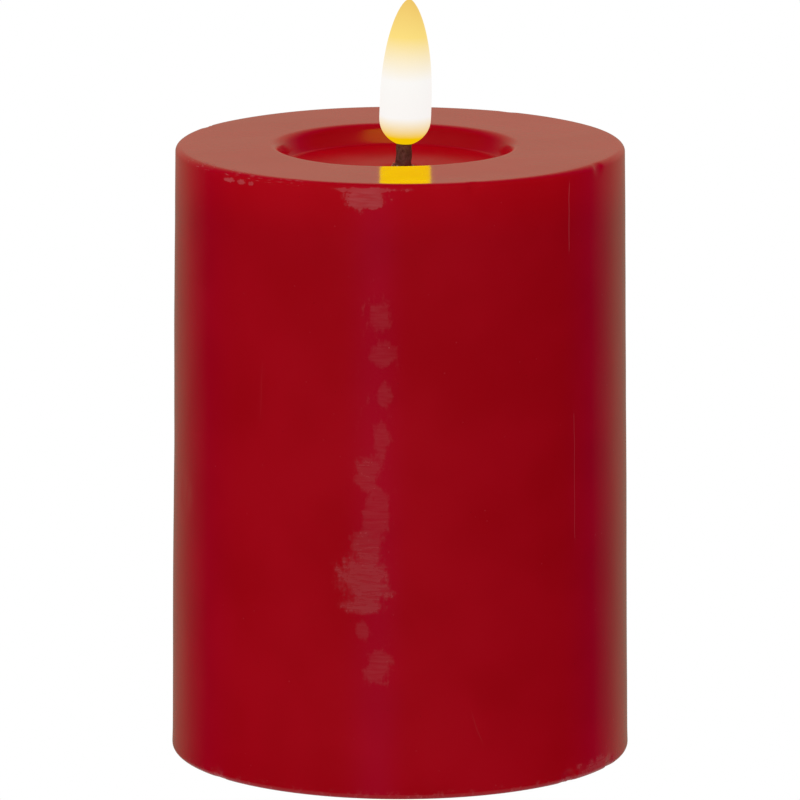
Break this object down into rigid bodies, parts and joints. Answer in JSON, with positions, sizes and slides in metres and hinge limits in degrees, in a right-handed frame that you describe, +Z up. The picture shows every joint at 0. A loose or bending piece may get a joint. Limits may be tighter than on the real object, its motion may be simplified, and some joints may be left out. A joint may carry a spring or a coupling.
{
  "type": "flameless led candle",
  "caption": "Round red wax pillar with a shallow melt pool and a rigid lit flame on a wick, over a plastic battery base with a lift-off door and a slide switch.",
  "frame": {"origin": "centre of the underside, on the surface that the candle stands on", "axes": "+Z up through the flame, -Y the front that the picture shows, +X to its right; the flame leans a little towards +X"},
  "size_m": [0.075, 0.075, 0.1244],
  "materials": {
    "red_wax": "glossy through-dyed wax, softly translucent, with rubbed patches and fine scratches",
    "flame_silicone": "emissive satin silicone, warm white, yellow at its rim and tip",
    "wick_plastic": "matt dark brown",
    "led_epoxy": "clear warm epoxy",
    "black_plastic": "fine spark-eroded texture",
    "hot_melt": "milky hot-melt glue",
    "screw_steel": "zinc plated",
    "cell_jacket": "printed-film jacket over a steel can",
    "contact_steel": "nickel-plated strip",
    "spring_steel": "nickel-plated wire",
    "board_laminate": "green solder mask",
    "chip_epoxy": "moulded epoxy",
    "capacitor_sleeve": "shrunk sleeve",
    "crystal_can": "drawn nickel-silver can",
    "phenolic": "brown phenolic sheet",
    "white_plastic": "moulded acetal",
    "knob_plastic": "moulded ABS",
    "red_pvc": "wire insulation",
    "black_pvc": "wire insulation",
    "yellow_pvc": "wire insulation",
    "white_pvc": "wire insulation"
  },
  "bodies": {
    "candle": {"wax_shell": "red_wax", "flame_diffuser": "flame_silicone", "wick_sleeve": "wick_plastic", "flame_led": "led_epoxy", "stem_holder": "black_plastic", "base_housing": "black_plastic", "core_cover": "black_plastic", "glue_beads": "hot_melt", "case_screws": "screw_steel", "bridge_contact": "contact_steel", "positive_contact": "contact_steel", "negative_contact": "contact_steel", "contact_spring_a": "spring_steel", "contact_spring_b": "spring_steel", "circuit_board": "board_laminate", "board_screws": "screw_steel", "timer_chip": "chip_epoxy", "transistor": "chip_epoxy", "resistors": "chip_epoxy", "capacitor": "capacitor_sleeve", "crystal": "crystal_can", "switch_base": "phenolic", "switch_frame": "contact_steel", "battery_wire_red": "red_pvc", "battery_wire_black": "black_pvc", "led_wire_positive": "yellow_pvc", "led_wire_negative": "white_pvc"},
    "door": {"battery_door": "black_plastic", "door_screw": "screw_steel"},
    "cell_a": {"battery_cell_a": "cell_jacket"},
    "cell_b": {"battery_cell_b": "cell_jacket"},
    "switch_knob": {"switch_slider": "white_plastic", "switch_knob": "knob_plastic"}
  },
  "joints": [
    {"name": "power_switch", "type": "slide", "parent": "candle", "child": "switch_knob", "axis": [1, 0, 0], "range_m": [-0.002, 0.002]},
    {"name": "door_release", "type": "slide", "parent": "candle", "child": "door", "axis": [0, 0, -1], "range_m": [0, 0.06]},
    {"name": "cell_a_release", "type": "slide", "parent": "candle", "child": "cell_a", "axis": [0, 0, -1], "range_m": [0, 0.036]},
    {"name": "cell_b_release", "type": "slide", "parent": "candle", "child": "cell_b", "axis": [0, 0, -1], "range_m": [0, 0.036]}
  ],
  "couplings": [
    {"joint": "cell_a_release", "follows": "door_release", "ratio": 0.6},
    {"joint": "cell_b_release", "follows": "door_release", "ratio": 0.6}
  ]
}
